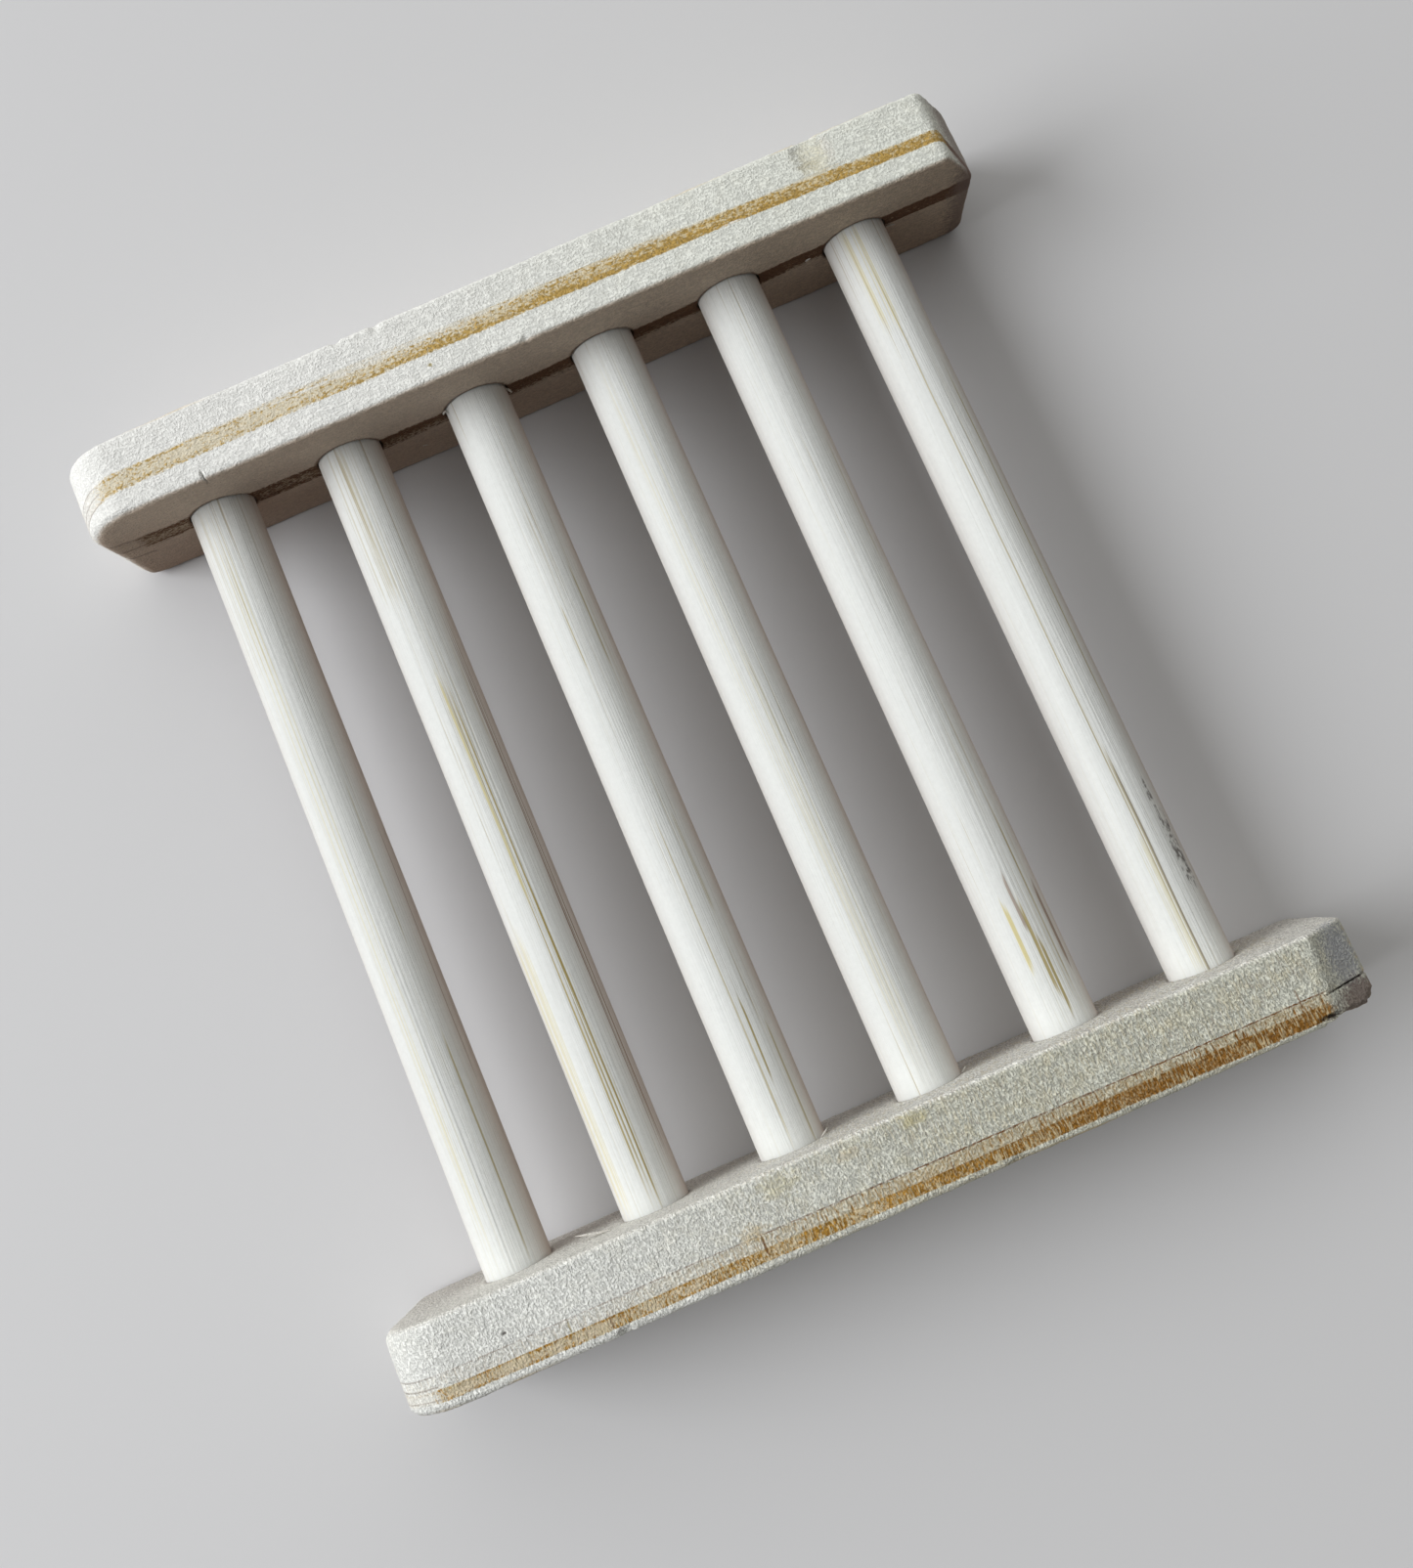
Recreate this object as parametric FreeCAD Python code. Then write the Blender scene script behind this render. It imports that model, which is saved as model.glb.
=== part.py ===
import FreeCAD, Part
import math
import os

# A ladder-style wooden soap dish: round dowels glued between two rails.
# X runs along the rails, Y from the front rail to the back rail, Z up.
# The origin is on the surface that the dish stands on, under its middle.

# Rails, in millimetres
rail_length = 100.0
rail_height = 20.0
rail_thickness = 8.4
rail_span = 83.8          # clear distance between the rails' inner faces
rail_stagger = 0.45       # the back rail sits this far to the right, the front rail as far to the left
edge_radius = 0.6         # easing along the edges of the inner and outer faces
corner_extra = 0.7        # the corners of a rail's outline are rounded this much more than its edges
foot_extra = 1.3          # the same at the two bottom corners

# Top corners of the rails: the left ends are rounded, the right ends are cut flat
back_left_round = 6.0
front_left_round = 6.6
back_cut_width = 3.8
back_cut_height = 7.0
front_cut_width = 5.0
front_cut_height = 3.5

# Dowels
dowel_count = 6
dowel_diameter = 7.0
dowel_end_margin = 13.25  # from the end of a centred rail to the axis of the nearest dowel
dowel_axis_height = 10.35
dowel_end_chamfer = 0.6

# Glued joint between a dowel and its blind hole
hole_floor = 3.4          # wood left between a hole and the rail's outer face
glue_gap = 0.05           # radial clearance
end_gap = 0.3             # room for glue between a dowel's end and the floor of its hole

dowel_pitch = (rail_length - 2 * dowel_end_margin) / (dowel_count - 1)
dowel_axes = [dowel_end_margin - rail_length / 2 + i * dowel_pitch for i in range(dowel_count)]
inner_face = rail_span / 2
hole_depth = rail_thickness - hole_floor


def rounded_outline(corners):
    # Closed wire in the XZ plane through corners of (x, z, radius), each rounded by a tangent arc.
    stretches = []
    for i, (x, z, radius) in enumerate(corners):
        here = FreeCAD.Vector(x, 0, z)
        before = FreeCAD.Vector(corners[i - 1][0], 0, corners[i - 1][1])
        after = FreeCAD.Vector(corners[(i + 1) % len(corners)][0], 0, corners[(i + 1) % len(corners)][1])
        to_before = (before - here).normalize()
        to_after = (after - here).normalize()
        half_angle = to_before.getAngle(to_after) / 2
        setback = radius / math.tan(half_angle)
        bisector = (to_before + to_after).normalize()
        centre = here + bisector * (radius / math.sin(half_angle))
        stretches.append((here + to_before * setback, centre - bisector * radius, here + to_after * setback))
    edges = []
    for i, (start, middle, end) in enumerate(stretches):
        edges.append(Part.Arc(start, middle, end).toShape())
        edges.append(Part.LineSegment(end, stretches[(i + 1) % len(stretches)][0]).toShape())
    return Part.Wire(edges)


def rail_blank(left_round, cut_width, cut_height):
    # A rail without holes, centred on X, standing on Z = 0, its inner face at Y = 0 and its wood at Y > 0.
    half = rail_length / 2
    corner_radius = edge_radius + corner_extra
    foot_radius = edge_radius + foot_extra
    outline = rounded_outline([
        (-half, 0, foot_radius),
        (half, 0, foot_radius),
        (half, rail_height - cut_height, corner_radius),
        (half - cut_width, rail_height, corner_radius),
        (-half, rail_height, left_round),
    ])
    block = Part.Face(outline).extrude(FreeCAD.Vector(0, rail_thickness, 0))
    rim = [edge for edge in block.Edges if edge.BoundBox.YLength < edge_radius]
    return block.makeFillet(edge_radius, rim)


def drilled(rail, mouth, inward):
    # The rail with its row of blind holes, from the face at Y = mouth along Y in the direction inward.
    hole_radius = dowel_diameter / 2 + glue_gap
    for x in dowel_axes:
        start = FreeCAD.Vector(x, mouth, dowel_axis_height)
        rail = rail.cut(Part.makeCylinder(hole_radius, hole_depth, start, FreeCAD.Vector(0, inward, 0)))
    return rail


def back_rail():
    rail = rail_blank(back_left_round, back_cut_width, back_cut_height)
    rail.translate(FreeCAD.Vector(rail_stagger, inner_face, 0))
    return drilled(rail, inner_face, 1)


def front_rail():
    rail = rail_blank(front_left_round, front_cut_width, front_cut_height)
    rail.translate(FreeCAD.Vector(-rail_stagger, -inner_face - rail_thickness, 0))
    return drilled(rail, -inner_face, -1)


def dowel(x):
    # A dowel along Y, seated in both rails, with chamfered ends that start easily in the holes.
    reach = inner_face + hole_depth - end_gap
    start = FreeCAD.Vector(x, -reach, dowel_axis_height)
    rod = Part.makeCylinder(dowel_diameter / 2, 2 * reach, start, FreeCAD.Vector(0, 1, 0))
    rims = [edge for edge in rod.Edges if edge.BoundBox.YLength < dowel_end_chamfer]
    return rod.makeChamfer(dowel_end_chamfer, rims)


pieces = {"back_rail": back_rail(), "front_rail": front_rail()}
for number, axis in enumerate(dowel_axes, start=1):
    pieces[f"dowel_{number}"] = dowel(axis)

os.makedirs("parts", exist_ok=True)
for node, shape in pieces.items():
    shape.exportStep(f"parts/{node}.step")
    box = shape.optimalBoundingBox(False, False)
    print(f"{node}: {len(shape.Solids)} solid, valid {shape.isValid()}, volume {shape.Volume:.1f} mm3, "
          f"{box.XLength:.2f} x {box.YLength:.2f} x {box.ZLength:.2f} mm")
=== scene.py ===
import math
import bmesh
import bpy
import numpy as np
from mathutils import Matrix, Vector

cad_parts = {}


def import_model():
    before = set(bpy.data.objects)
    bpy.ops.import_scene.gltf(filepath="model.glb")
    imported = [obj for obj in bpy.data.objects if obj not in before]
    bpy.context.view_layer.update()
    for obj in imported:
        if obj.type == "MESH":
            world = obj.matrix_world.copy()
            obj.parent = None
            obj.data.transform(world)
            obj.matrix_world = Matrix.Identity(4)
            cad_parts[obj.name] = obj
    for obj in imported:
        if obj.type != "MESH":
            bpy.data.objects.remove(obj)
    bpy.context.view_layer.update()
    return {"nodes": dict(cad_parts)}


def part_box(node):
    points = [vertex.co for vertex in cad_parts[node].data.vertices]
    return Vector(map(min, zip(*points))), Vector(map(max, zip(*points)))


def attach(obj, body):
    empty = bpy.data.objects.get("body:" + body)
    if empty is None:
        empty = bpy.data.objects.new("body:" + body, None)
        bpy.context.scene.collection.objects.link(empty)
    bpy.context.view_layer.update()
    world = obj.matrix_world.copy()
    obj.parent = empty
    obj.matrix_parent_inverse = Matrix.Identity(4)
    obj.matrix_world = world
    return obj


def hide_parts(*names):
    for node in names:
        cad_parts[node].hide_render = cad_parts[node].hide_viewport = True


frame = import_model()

from types import SimpleNamespace
from mathutils import Matrix, Vector, noise

mm = 0.001
scene = bpy.context.scene
scene.view_settings.view_transform = "Standard"


# Camera, at the photograph's place: millimetres and degrees
cameraView = {
    "location": (1.228, -22.661, 174.821),
    "aim": (3.101, 3.933, 10.0),
    "upHeading": 23.31,  # which way the top of the picture points, from +Y towards +X
    "lens": 37.0065,
    "shiftY": -0.0636,
}


def placeCamera(view):
    data = bpy.data.cameras.new("camera")
    data.lens = view["lens"]
    data.shift_y = view["shiftY"]
    data.clip_start = 0.01
    camera = bpy.data.objects.new("camera", data)
    scene.collection.objects.link(camera)
    location = Vector(view["location"]) * mm
    forward = (Vector(view["aim"]) * mm - location).normalized()
    heading = math.radians(view["upHeading"])
    right = forward.cross(Vector((math.sin(heading), math.cos(heading), 0))).normalized()
    up = right.cross(forward)
    turn = Matrix((right, up, -forward)).transposed()
    camera.matrix_world = Matrix.Translation(location) @ turn.to_4x4()
    scene.camera = camera


# Shader nodes from Python expressions
class Wire:
    def __init__(self, finish, socket):
        self.finish = finish
        self.socket = socket

    def math(self, operation, *values):
        return self.finish.add("Math", {"operation": operation}, dict(enumerate(values)))

    def __add__(self, other):
        return self.math("ADD", self, other)

    def __radd__(self, other):
        return self.math("ADD", other, self)

    def __sub__(self, other):
        return self.math("SUBTRACT", self, other)

    def __rsub__(self, other):
        return self.math("SUBTRACT", other, self)

    def __mul__(self, other):
        return self.math("MULTIPLY", self, other)

    def __rmul__(self, other):
        return self.math("MULTIPLY", other, self)

    def __truediv__(self, other):
        return self.math("DIVIDE", self, other)

    def __abs__(self):
        return self.math("ABSOLUTE", self)

    def most(self, other):
        return self.math("MAXIMUM", self, other)

    def swing(self):  # a noise of 0 to 1 as one that swings about 0
        return self - 0.5


class Finish:
    def __init__(self, owner, shader="Principled BSDF"):  # the owner is a new material or world
        owner.use_nodes = True
        self.owner = owner
        self.nodes = owner.node_tree.nodes
        self.links = owner.node_tree.links
        self.shader = self.nodes[shader]

    def join(self, socket, value):
        if isinstance(value, Wire):
            self.links.new(value.socket, socket)
        else:
            socket.default_value = value

    def add(self, kind, settings, sockets, out=0):
        node = self.nodes.new("ShaderNode" + kind)
        for key, value in settings.items():
            setattr(node, key, value)
        for key, value in sockets.items():
            self.join(node.inputs[key], value)
        return Wire(self, node.outputs[out])

    def place(self):  # where the surface is, in millimetres
        spot = self.add("TexCoord", {}, {}, "Object")
        return self.stretch(spot, (1 / mm, 1 / mm, 1 / mm))

    def seen(self):  # 1 for rays from the camera, also by way of gloss or glass
        camera, gloss, glass = [
            self.add("LightPath", {}, {}, f"Is {kind} Ray") for kind in ("Camera", "Glossy", "Transmission")
        ]
        return camera.most(gloss).most(glass)

    def stretch(self, vector, factors):
        return self.add("VectorMath", {"operation": "MULTIPLY"}, {0: vector, 1: factors})

    def turned(self, vector, degrees):  # turned about Z
        sockets = {"Vector": vector, "Angle": math.radians(degrees)}
        return self.add("VectorRotate", {"rotation_type": "Z_AXIS"}, sockets)

    def parts(self, vector):
        return [self.add("SeparateXYZ", {}, {0: vector}, axis) for axis in "XYZ"]

    def gather(self, x, y, z):
        return self.add("CombineXYZ", {}, {"X": x, "Y": y, "Z": z})

    def length(self, vector):
        return self.add("VectorMath", {"operation": "LENGTH"}, {0: vector}, "Value")

    def noise(self, vector, fineness, detail, roughness):  # fineness along x, y and z
        place = self.stretch(vector, fineness)
        sockets = {"Vector": place, "Scale": 1.0, "Detail": detail, "Roughness": roughness}
        return self.add("TexNoise", {}, sockets)

    def step(self, value, low, high):  # 0 below low, 1 above high, smooth between
        return self.add("MapRange", {"interpolation_type": "SMOOTHSTEP"},
                        {"Value": value, "From Min": low, "From Max": high})

    def near(self, value, middle, reach, soft):  # 1 within reach of middle, fading to 0 over soft
        return 1 - self.step(abs(value - middle), reach, reach + soft)

    def growth(self, value):
        # in each whole step of the value, a slow rise to 1 and a fast fall, as in growth rings
        part = value.math("FRACT", value)
        return self.step(part, 0.35, 0.9) * (1 - self.step(part, 0.9, 1.0))

    def blend(self, amount, first, second):
        return self.add("Mix", {"data_type": "RGBA"}, {0: amount, 6: first, 7: second}, 2)

    def dim(self, colour, amount):  # a colour times a grey
        grey = self.gather(amount, amount, amount)
        settings = {"data_type": "RGBA", "blend_type": "MULTIPLY"}
        return self.add("Mix", settings, {0: 1.0, 6: colour, 7: grey}, 2)

    def bump(self, height, depth, strength=1.0):
        return self.add("Bump", {}, {"Height": height, "Distance": depth * mm, "Strength": strength})

    def wear(self, **sockets):
        for key, value in sockets.items():
            self.join(self.shader.inputs[key.replace("_", " ")], value)
        return self.owner


def paint(red, green, blue):  # a screen colour of 0 to 255 as Blender's linear colour
    shares = [value / 255 for value in (red, green, blue)]
    linear = [share / 12.92 if share < 0.04045 else ((share + 0.055) / 1.055) ** 2.4 for share in shares]
    return (*linear, 1)


# Studio: a broad soft window from the left, a sky that is brightest behind the dish, and a pale floor
window = {"from": (-955, 205, 690), "size": 880, "power": 12.4, "colour": (0.975, 0.988, 1.0)}
sky = {
    "towards": (-0.15, 0.85, 0.5),
    "bright": (0.9, 0.895, 0.865, 1),
    "dim": (0.062, 0.058, 0.053, 1),
    "backdrop": paint(222, 222, 224),
}
floorLook = {
    "halfSize": 900, "shown": paint(214, 214, 216), "roughness": 0.9, "gloss": 0.1,
    "bounce": paint(178, 173, 168),  # its colour for the light that it throws back
    "under": paint(110, 86, 77),     # the same below the dish, within these reaches along x and y
    "shelter": (49, 44), "shelterSoft": 6,
    "fade": (180, 640),  # over these distances from the middle the floor turns into the backdrop
}


def placeWindow():
    data = bpy.data.lights.new("window", "AREA")
    data.shape = "DISK"
    data.size = window["size"] * mm
    data.energy = window["power"]
    data.color = window["colour"]
    lamp = bpy.data.objects.new("window", data)
    scene.collection.objects.link(lamp)
    lamp.location = Vector(window["from"]) * mm
    lamp.rotation_mode = "QUATERNION"
    lamp.rotation_quaternion = (-lamp.location).to_track_quat("-Z", "Y")


def placeSky():
    dome = Finish(bpy.data.worlds.new("sky"), "Background")
    ray = dome.add("TexCoord", {}, {}, "Generated")
    facing = dome.add("VectorMath", {"operation": "DOT_PRODUCT"}, {0: ray, 1: sky["towards"]}, "Value")
    colour = dome.blend(facing, sky["dim"], sky["bright"])
    scene.world = dome.wear(Color=dome.blend(dome.seen(), colour, sky["backdrop"]))


def placeFloor():
    half = floorLook["halfSize"] * mm
    corners = [(-half, -half, 0), (half, -half, 0), (half, half, 0), (-half, half, 0)]
    mesh = bpy.data.meshes.new("floor")
    mesh.from_pydata(corners, [], [(0, 1, 2, 3)])
    floor = bpy.data.objects.new("floor", mesh)
    scene.collection.objects.link(floor)
    finish = Finish(bpy.data.materials.new("floor_plain"))
    seen = finish.seen()
    place = finish.place()
    across, along = finish.parts(place)[:2]
    reachX, reachY = floorLook["shelter"]
    soft = floorLook["shelterSoft"]
    sheltered = finish.near(across, 0, reachX, soft) * finish.near(along, 0, reachY, soft)
    bounce = finish.blend(sheltered, floorLook["bounce"], floorLook["under"])
    colour = finish.blend(seen, bounce, floorLook["shown"])
    finish.wear(Base_Color=colour, Roughness=floorLook["roughness"], Specular_IOR_Level=floorLook["gloss"])
    faded = finish.step(finish.length(place), *floorLook["fade"]) * seen
    lit = Wire(finish, finish.shader.outputs[0])
    glow = finish.add("Emission", {}, {"Color": sky["backdrop"]})
    surface = finish.add("MixShader", {}, {0: faded, 1: lit, 2: glow})
    finish.join(finish.nodes["Material Output"].inputs["Surface"], surface)
    mesh.materials.append(finish.owner)


# Rails. Their mesh and marks are placed by (x, depth from the inner face, z), in millimetres
railForm = {
    "spacing": 0.32,       # between mesh points
    "crowdGain": 2.0,      # how much closer they lie near fine spots
    "crowdReach": 1.2,
    "weld": 0.002,         # points closer than this are one
    "roundSteps": 5,       # mesh steps round an eased edge
    "arcSteps": 24,        # steps round a corner of the outline
    "pathStep": 0.02,      # between places on the outline
    "cornerRadius": 1.3,
    "footRadius": 1.9,
    "easeEdge": 0.55,
    "easeEnd": 1.25,       # the edges are sanded rounder at the left end
    "easeReach": 9,        # how far from that end
    "skewReach": 8,        # how far left of the cut its skew is felt
    "wave": 0.07,          # slow unevenness of the sanded faces
    "waveSize": 9.0,
    "waveSink": 0.6,       # keeps it below the solid's face
    "fuzz": 0.035,         # raised fibres
    "fuzzSize": 0.9,
    "fuzzSink": 0.8,
    "ragged": 0.12,        # splintering along the edges
    "raggedSize": 1.6,
    "sharpAngle": 55,      # degrees, from which an edge is shaded as a sharp one
}
woundForm = {"ragged": 0.18, "steep": 1.3}
splinterForm = {"steps": 8, "around": 8, "rooted": 0.25, "curl": 0.25, "rootWidth": 0.12, "tip": 0.06}
holeForm = {
    "around": 64,
    "fineness": 2.2,       # of the torn rim
    "apart": 3.0,          # gives each hole its own noise
    "tearing": 0.7,        # as a share of the gap round the dowel
    "flares": ((-1.0, 1.0), (0.0, 1.0), (0.35, 0.25)),  # depths, and how torn the hole is there
    "floorFlare": 0.2,
}
tints = {
    "olive": paint(162, 144, 78), "yellow": paint(208, 194, 126), "brown": paint(124, 84, 42),
    "tan": paint(206, 180, 124), "grey": paint(96, 90, 86), "pale": paint(240, 237, 230),
    # the darkest of these is painted shadow, for a crack and a broken gap
    "umber": paint(120, 98, 84), "crackShadow": paint(52, 44, 42), "sand": paint(206, 194, 150),
    # the blue-grey and brown-grey tints here are painted shade, for the shaded cut faces at the right ends
    "figure": paint(214, 188, 136), "shadeBlueGrey": paint(172, 175, 186), "shadeBrownGrey": paint(140, 124, 118),
    # painted shade colour, for the crevices round the dowels and the late wood down the back rail's inner
    # face
    "rim": paint(104, 76, 56),
}
backRail = {
    "node": "back_rail", "depthSign": 1, "seed": 3.7,
    "leftRound": 6.0, "cutWidth": 3.3, "cutHeight": 7.0, "cutSkew": 0.0, "holeGap": 0.2,
    # plain wood at the left and at the right, late wood, what lies under it, and the inner face's tone,
    # here a darker, warmer tan that is painted shade
    "base": paint(242, 242, 239), "far": paint(232, 234, 226), "turn": (-30, 36),
    "dark": paint(192, 161, 96), "darkFar": paint(180, 148, 82), "bandTurn": (-30, 36),
    "under": (paint(222, 208, 174), paint(218, 200, 158)), "fill": paint(229, 218, 190),
    # below: the late wood is painted darker, browner and fuller down this rail's shaded inner face, and
    # painted shade darkens the crevice round each dowel
    "innerTone": (0.75, paint(200, 176, 152)), "cloud": 0.06, "mottle": 0.03, "sidePaintedShade": 1.0, "rim": 0.85,
    # the band of late wood: crisp on its inner side, frayed on its outer side
    "lean": 0.343, "tilt": 0.0, "bend": 0.7, "crisp": 3.05, "sideways": 1,
    "width": 2.05, "widen": -0.65, "narrow": 0.035, "bandEnd": 60,
    "fray": 0.5, "frayEnd": 1.2, "plateau": 0.3, "hollow": 0.2, "core": 0.3,
    "fullness": 0.56, "patchy": 0.6, "dense": [],
    "grit": (2.4, 4.2, 4.2),  # fineness of its grains along, across and up the rail
    # raised fibres: how they lie, in degrees from the rail's length, and how strongly they show
    "strokes": 8, "felt": (1.3, 3.8, 3.8), "napContrast": 0.22, "napDepth": 0.07, "ticks": 0.0,
    "lines": [], "between": None, "endLines": (3.1, 4.0, 5.0),
    "stainsAndShade": [
        {"at": (34.6, 6.0, 20), "reach": (2.4, 2.9, 2), "tint": "sand", "strength": 0.4, "ragged": 1},
        {"at": (32.8, 6.9, 20), "reach": (0.5, 2.2, 2), "tint": "grey", "strength": 0.2},
        {"at": (33.8, 5.3, 20), "reach": (1.6, 0.9, 2), "tint": "olive", "strength": 0.35, "ragged": 1},
        {"at": (36.2, 6.4, 20), "reach": (0.7, 2.0, 2), "tint": "pale", "strength": 0.4},
        {"at": (-9.7, 1.8, 20), "reach": (0.35, 0.3, 1), "tint": "olive", "strength": 0.8},
        {"at": (24.3, 3.0, 20), "reach": (1.5, 0.14, 1), "tint": "pale", "strength": 0.9},
        # painted shade on the cut face at the right end
        {"at": (50.7, 4.2, 10), "reach": (3.6, 30, 30), "tint": "shadeBrownGrey", "strength": 0.75},
    ],
    "wounds": [
        {"at": (-35.3, 0.2, 20), "reach": (0.24, 1.35, 1.5), "depth": 0.65, "slant": 0.05},
        {"at": (34.0, 7.0, 20), "reach": (1.9, 2.6, 2), "depth": 0.25},
        {"at": (-17.8, 8.4, 20), "reach": (0.8, 0.9, 0.9), "depth": 0.4},
        {"at": (-13.5, 8.4, 20), "reach": (0.7, 1.1, 0.8), "depth": 0.4},
        {"at": (0.2, 0.2, 20), "reach": (0.5, 0.9, 0.8), "depth": 0.25},
    ],
    "splinters": [
        {"at": (40.75, -0.1, 10.2), "along": (0.35, -0.3, 0.9), "length": 1.7, "width": 0.5},
        {"at": (31.2, -0.05, 10.2), "along": (0.2, -0.15, 1.0), "length": 1.6, "width": 0.45},
        {"at": (-10.75, -0.05, 11.6), "along": (-0.3, -0.4, 0.8), "length": 1.1, "width": 0.5},
        {"at": (-3.8, -0.1, 10.6), "along": (0.3, -0.6, 0.7), "length": 1.5, "width": 0.4},
        {"at": (-14.8, -0.05, 4.8), "along": (0.5, -0.2, 0.8), "length": 1.3, "width": 0.35},
    ],
    "fine": [-35.3], "fineDepth": [],
}
frontRail = {
    "node": "front_rail", "depthSign": -1, "seed": 11.2,
    "leftRound": 6.6, "cutWidth": 5.0, "cutHeight": 3.5, "cutSkew": -0.12, "holeGap": 0.06,
    "base": paint(240, 241, 237), "far": paint(211, 212, 200), "turn": (-36, 14),
    "dark": paint(174, 132, 58), "darkFar": paint(138, 96, 38), "bandTurn": (-8, 28),
    "under": (paint(212, 190, 146), paint(176, 146, 100)), "fill": paint(206, 192, 156),
    # here the inner face keeps the pale colour of the left end all along
    "innerTone": (1.0, paint(243, 242, 236)), "cloud": 0.1, "mottle": 0.15, "sidePaintedShade": 0.0, "rim": 0.3,
    # here the band is crisp on its outer side
    "lean": 0.012, "tilt": -0.0055, "bend": 0.1, "crisp": 7.6, "sideways": -1,
    "width": 1.26, "widen": 0.3, "narrow": 0.0, "bandEnd": 44.0,
    "fray": 0.12, "frayEnd": 1.0, "plateau": 0.75, "hollow": 0.4, "core": 0.1,
    "fullness": 0.44, "patchy": 1.0,
    "dense": [  # stretches where the band is full: the middle of each and its reach
        (-45.2, 1.0), (-40.6, 1.2), (-35.6, 1.0), (-32.5, 0.7), (-27.2, 1.2), (-21.8, 1.6), (-16.0, 3.6),
        (-7.2, 1.5), (0.5, 2.5), (8.0, 4.0), (19.0, 3.4), (29.0, 5.0), (39.4, 3.6),
    ],
    "grit": (5.0, 3.4, 3.4),
    "strokes": 60, "felt": (2.6, 4.6, 4.6), "napContrast": 0.44, "napDepth": 0.11, "ticks": 1.0,
    "lines": [
        {"ring": 5.2, "width": 0.07, "strength": 1.0, "from": -46},
        {"ring": 6.5, "width": 0.05, "strength": 0.6, "from": 2},
    ],
    "between": (5.2, 6.9), "endLines": (5.2, 6.15, 7.3),
    "stainsAndShade": [
        {"at": (-12.8, 6.1, 20), "reach": (0.16, 1.4, 1), "tint": "brown", "strength": 0.85},
        {"at": (-13.4, 4.7, 20), "reach": (1.8, 1.0, 1), "tint": "tan", "strength": 0.6, "ragged": 2},
        {"at": (6.0, 6.3, 20), "reach": (0.13, 1.2, 1), "tint": "brown", "strength": 0.7},
        {"at": (4.4, 1.1, 20), "reach": (1.7, 1.0, 1), "tint": "yellow", "strength": 0.55, "ragged": 2},
        {"at": (-9.5, 1.6, 20), "reach": (2.6, 1.4, 1), "tint": "yellow", "strength": 0.35, "ragged": 2},
        {"at": (-2.5, 1.6, 20), "reach": (1.8, 0.8, 1), "tint": "tan", "strength": 0.35, "ragged": 2},
        {"at": (-38.1, 3.9, 20), "reach": (0.3, 0.16, 1), "tint": "grey", "strength": 0.9},
        {"at": (-28.5, 6.8, 20), "reach": (0.2, 0.9, 1), "tint": "brown", "strength": 0.6},
        {"at": (-32.3, 5.9, 20), "reach": (0.14, 1.0, 1), "tint": "olive", "strength": 0.6},
        {"at": (41.6, 5.2, 20), "reach": (0.14, 1.3, 1), "tint": "brown", "strength": 0.7},
        # painted shade on the cut face and the broken corner at the right end
        {"at": (48.2, 3.0, 18.4), "reach": (3.3, 4.6, 2.8), "tint": "shadeBlueGrey", "strength": 0.65},
        {"at": (47.8, 7.5, 17.6), "reach": (4.2, 2.5, 5.5), "tint": "shadeBrownGrey", "strength": 0.85},
        # painted shadow in the crack along the cut face and in the broken gap at the end of the band
        {"at": (47.0, 5.75, 18), "reach": (3.6, 0.11, 5), "tint": "crackShadow", "strength": 0.95},
        {"at": (44.0, 7.7, 20), "reach": (1.6, 0.3, 2), "tint": "crackShadow", "strength": 0.95},
    ],
    "wounds": [
        {"at": (47.0, 5.75, 18), "reach": (3.6, 0.16, 5), "depth": 0.35},
        {"at": (44.0, 7.7, 20), "reach": (1.8, 0.34, 2), "depth": 0.7},
        {"at": (46.0, 8.7, 19), "reach": (3.4, 1.0, 2.4), "depth": 0.55, "steep": 3},
        {"at": (49.4, 8.3, 16.6), "reach": (1.4, 1.2, 1.7), "depth": 0.4, "steep": 3},
        {"at": (-27.6, 8.4, 20), "reach": (0.9, 0.9, 0.9), "depth": 0.55},
        {"at": (-38.1, 3.9, 20), "reach": (0.4, 0.25, 1), "depth": 0.15},
        {"at": (12.0, 8.4, 20), "reach": (1.6, 0.8, 0.8), "depth": 0.3},
    ],
    "splinters": [
        {"at": (-27.5, -0.1, 13.2), "along": (-1.0, -0.15, -0.05), "length": 3.6, "width": 0.8},
        {"at": (40.6, -0.05, 10.5), "along": (0.6, -0.4, 0.5), "length": 0.9, "width": 0.5},
        {"at": (10.9, -0.05, 11.4), "along": (0.7, -0.4, 0.5), "length": 0.9, "width": 0.5},
        {"at": (-4.1, -0.05, 12.9), "along": (0.8, -0.4, 0.4), "length": 1.2, "width": 0.5},
    ],
    "fine": [-27.6, 44.0, 46.5], "fineDepth": [5.8, 7.6],
}


def crowding(places, spots):  # how much closer together the mesh points lie, 1 away from the spots
    close = np.ones(len(places))
    for spot in spots:
        close += railForm["crowdGain"] * np.exp(-((places - spot) / railForm["crowdReach"]) ** 2)
    return close


def spread(low, high, spacing, spots):
    # positions from low to high, spacing apart but closer near the spots
    ruler = np.linspace(low, high, 4001)
    measure = np.concatenate([[0], np.cumsum(crowding(ruler[1:], spots)) * (ruler[1] - ruler[0])])
    return np.interp(np.linspace(0, measure[-1], round(measure[-1] / spacing) + 1), measure, ruler)


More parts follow.
